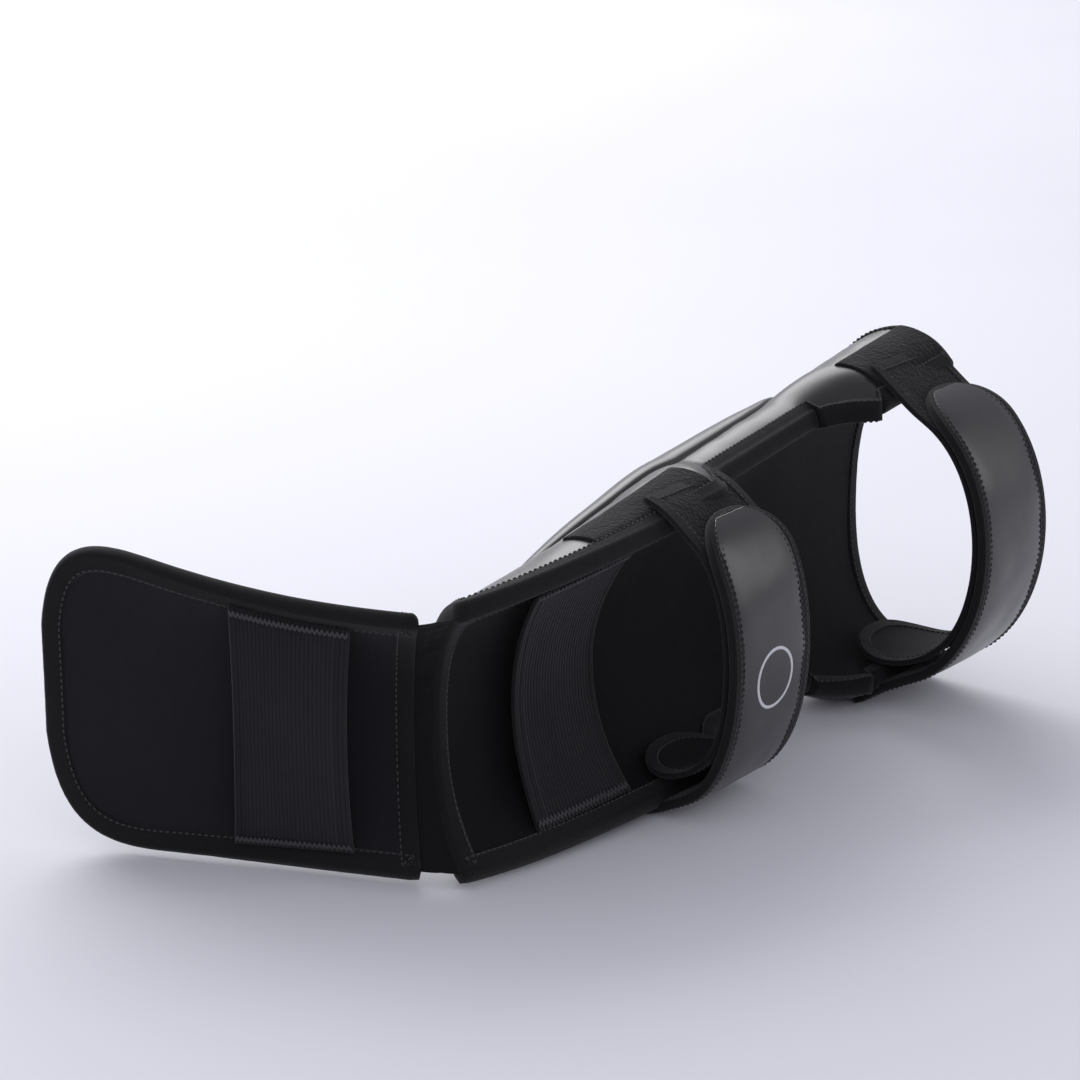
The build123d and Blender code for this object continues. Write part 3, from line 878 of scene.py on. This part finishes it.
def band_half(path, width, tip_at_start, corner):
    """Half width along a band whose free end is rounded."""
    def half(s):
        distance = s if tip_at_start else path.end - s
        if distance >= corner:
            return width / 2
        share = 1 - clamp(distance / corner)
        return width / 2 - corner + sqrt(max(0.0, 1 - share * share)) * corner
    return half


def strap_height(s, w):
    """Crowned, slightly wavy face of a strap above its middle line."""
    return 2.3 + 1.3 * (1 - (w / 30.0) ** 4) + 0.5 * wobble(s, w, 21, 24.0) + 0.08 * wobble(s, w, 25, 9.0)


def strap_kit(side):
    """One calf strap and its tongue; gives the strap's path."""
    x = STRAPS[side]["x"]
    strap_body, tongue_body = f"{side}_strap", f"{side}_tongue"
    hinge = joint_at[f"{side}_strap_open"]
    tongue_hinge = joint_at[f"{side}_tongue_swing"]
    made = []

    path = Path(x, smooth_line(joined(side, "strap")))
    half = band_half(path, STRAP_WIDTH, True, 33.0)
    rails = Threads()
    # leather face, set between a wide bound edge and a thin piping
    field = lambda s: max(0.4, half(s) - 4.6)
    face = outward_normals(quilt(f"{side}_strap_face", path, spread(4.0, path.end, 2.6, 14.0),
                                 field, lambda s, w: -0.9, strap_height, 44))
    dress(face, STRAP_LEATHER, None, (f"{side}_strap_leather", f"{side}_strap_core"))
    back = outward_normals(quilt(f"{side}_strap_hook_face", path, spread(4.0, path.end, 3.0, 14.0),
                                 field, lambda s, w: -2.7, lambda s, w: -0.8, 24))
    dress(back, HOOK_FACE, None, (f"{side}_strap_hook",))
    ring = resample(path, outline(path, 0.0, path.end, half), 0.0, 2.2)
    tape = bound_edge(f"{side}_strap_tape", path, ring, lambda s, w: -1.9, lambda s, w: 1.9, 7.6, rails, 5.0,
                      tape=0.8, pucker=0.28, rows=(0.35, 0.8), beyond=1.2)
    dress(tape, BINDING_TAPE, None, (f"{side}_strap_binding",))
    rows = rails.build(f"{side}_strap_stitches")
    dress(rows, THREAD)
    made += [(obj, strap_body, hinge, Vector((0, -1, 1))) for obj in (face, back, tape, rows)]

    line = Path(x, smooth_line(joined(side, "tongue")))
    narrow = band_half(line, TONGUE_WIDTH, False, 29.0)
    inner = lambda s: max(0.4, narrow(s) - 4.0)
    rails = Threads()
    stations = spread(0.0, line.end - 4.0, 3.0, 14.0)
    pile_face = outward_normals(quilt(f"{side}_tongue_pile", line, stations, inner, lambda s, w: -0.2,
                                      lambda s, w: 1.4 + 0.25 * wobble(s, w, 41, 12.0), 36))
    dress(pile_face, LOOP_PILE, None, (f"{side}_tongue_loop_pile",))
    under = outward_normals(quilt(f"{side}_tongue_liner", line, stations, inner, lambda s, w: -1.4,
                                  lambda s, w: -0.1, 24))
    dress(under, LINING_CLOTH, None, (f"{side}_tongue_lining",))
    ring = resample(line, outline(line, 0.0, line.end, narrow), 0.0, 2.2)
    tape = bound_edge(f"{side}_tongue_tape", line, ring, lambda s, w: -0.9, lambda s, w: 0.9, 7.0, rails, 9.0,
                      tape=0.8, pucker=0.3, rows=(0.75,), beyond=1.0)
    dress(tape, BINDING_TAPE, None, (f"{side}_tongue_binding",))
    rows = rails.build(f"{side}_tongue_stitches")
    dress(rows, THREAD)
    made += [(obj, tongue_body, tongue_hinge, Vector((0, -1, -1))) for obj in (pile_face, under, tape, rows)]
    for obj, body, pin, way in made:
        way = way.normalized() * HINGE_REACH
        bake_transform(obj)
    return path


class Strip(Surface):
    """Part of a wing seen as a strip of its own: w from -1 to 1 covers one span of shares."""

    across = 1.0
    width_scale = 14.0

    def __init__(self, base, low, high):
        self.base, self.low, self.high = base, low, high

    def at(self, s, w, t):
        return self.base.at(s, mix(self.low, self.high, (w + 1) / 2), t)

    def thickness(self, s, w):
        return self.base.thickness(s, mix(self.low, self.high, (w + 1) / 2))


def loop_pad(side):
    """Patch of loop fabric on the upper wing, where a strap's hook face lands."""
    strip = Strip(SHIN, 0.78, 0.975)
    start, end = STRAPS[side]["patch"]
    patch = outward_normals(quilt(f"{side}_loop_pad", strip, spread(start - 2, end + 2, 2.6, 5.0),
                                  lambda s: 1.0,
                                  lambda s, w: strip.thickness(s, w) - 0.6,
                                  lambda s, w: strip.thickness(s, w) + 1.9 * (1 - abs(w) ** 14)
                                  + 0.3 * wobble(s, w * 14, 61, 11.0), 30))
    dress(patch, LOOP_PILE, "shin", (f"{side}_loop_patch",))


strap_paths = {side: strap_kit(side) for side in STRAPS}
for side in STRAPS:
    loop_pad(side)

dress(shin_threads.build("shin_edge_stitches"), THREAD, "shin")
dress(foot_threads.build("foot_edge_stitches"), THREAD, "foot")


# ---- plain ring printed on the lower strap --------------------------------------------------------
def ring_print(path, centre_up, radius, line):
    """Flat ring that follows the strap's crowned face."""
    middle = SHIN.middle(path.x) + centre_up
    spot = float(path.lengths[np.argmin(abs(path.points[:, 1] - middle))])
    vertices, faces = [], []
    count = 72
    for top in (0, 1):
        for size in (radius - line, radius - line / 2, radius):
            for k in range(count):
                turn = 2 * pi * k / count
                s, w = spot + size * sin(turn), size * cos(turn)
                vertices.append(path.at(s, w, strap_height(s, w) + (0.22 if top else -0.3)))
    for k in range(count):
        n = (k + 1) % count
        for r in range(2):
            a = r * count
            faces.append((a + k, a + n, a + count + n, a + count + k))
            b = (3 + r) * count
            faces.append((b + k, b + count + k, b + count + n, b + n))
        faces.append((k, 3 * count + k, 3 * count + n, n))
        faces.append((2 * count + k, 2 * count + n, 5 * count + n, 5 * count + k))
    return outward_normals(make("strap_ring_print", vertices, faces))


ring = ring_print(strap_paths["lower"], -8.0, 16.5, 1.7)
dress(ring, PRINT_INK, "lower_strap", ("strap_emblem",))


# ---- stage, light and camera ----------------------------------------------------------------------
def stage():
    """Pale paper floor and an even, pale surround."""
    corners = [(-30, -30, 0), (30, -30, 0), (30, 30, 0), (-30, 30, 0)]
    floor = make("floor", corners, [(0, 1, 2, 3)], lowest=0.0)
    shade = Shade("backdrop_paper")
    shade.set(specular=0.2)
    soft = shade.noise(3.0, 3.0)
    shade.colour(soft, (0.80, 0.80, 0.855), (0.83, 0.83, 0.88))
    shade.roughness(shade.ramp(soft, 0.3, 0.7, 0.75, 0.9))
    floor.data.materials.append(shade.bump((shade.noise(400.0, 3.0), 0.05, 0.0001)))
    world = bpy.data.worlds.new("studio")
    bpy.context.scene.world = world
    world.use_nodes = True
    world.node_tree.nodes["Background"].inputs["Color"].default_value = (0.90, 0.90, 1.0, 1)
    world.node_tree.nodes["Background"].inputs["Strength"].default_value = 0.50


def lamp(name, place, target, size, power, colour=(1, 1, 1)):
    """Soft rectangular light at a place in metres, turned to a target."""
    light = bpy.data.lights.new(name, "AREA")
    light.shape = "RECTANGLE"
    light.size, light.size_y = size
    light.energy = power
    light.color = colour
    obj = bpy.data.objects.new(name, light)
    obj.location = place
    obj.rotation_euler = (Vector(target) - Vector(place)).to_track_quat("-Z", "Y").to_euler()
    bpy.context.scene.collection.objects.link(obj)


stage()
lamp("back_panel", (1.5, 2.6, 2.0), (0.6, 0.9, 0.0), (4.0, 2.4), 80)
lamp("top_strip", (0.1, 0.85, 1.0), (0.02, 0.0, 0.12), (1.8, 0.9), 5)
lamp("fill", (-1.8, -1.9, 1.6), (0, 0, 0.1), (1.6, 1.6), 9, (0.94, 0.94, 1.0))
lamp("side", (1.5, -1.5, 0.9), (0.05, -0.05, 0.1), (0.7, 1.2), 4.5)

azimuth, elevation, distance = radians(-53.0), radians(17.5), 1.70
back_way = Vector((sin(azimuth) * cos(elevation), -cos(azimuth) * cos(elevation), sin(elevation)))
target = ANKLE + Vector((128.3, 32.5, 134.8)) * MM
camera = bpy.data.cameras.new("camera")
camera.lens = 3200 / 1080 * 36
camera.sensor_width = 36
camera.clip_end = 60
eye = bpy.data.objects.new("camera", camera)
eye.location = target + back_way * distance
eye.rotation_euler = (-back_way).to_track_quat("-Z", "Y").to_euler()
bpy.context.scene.collection.objects.link(eye)
bpy.context.scene.camera = eye
bpy.context.scene.view_settings.view_transform = "Standard"
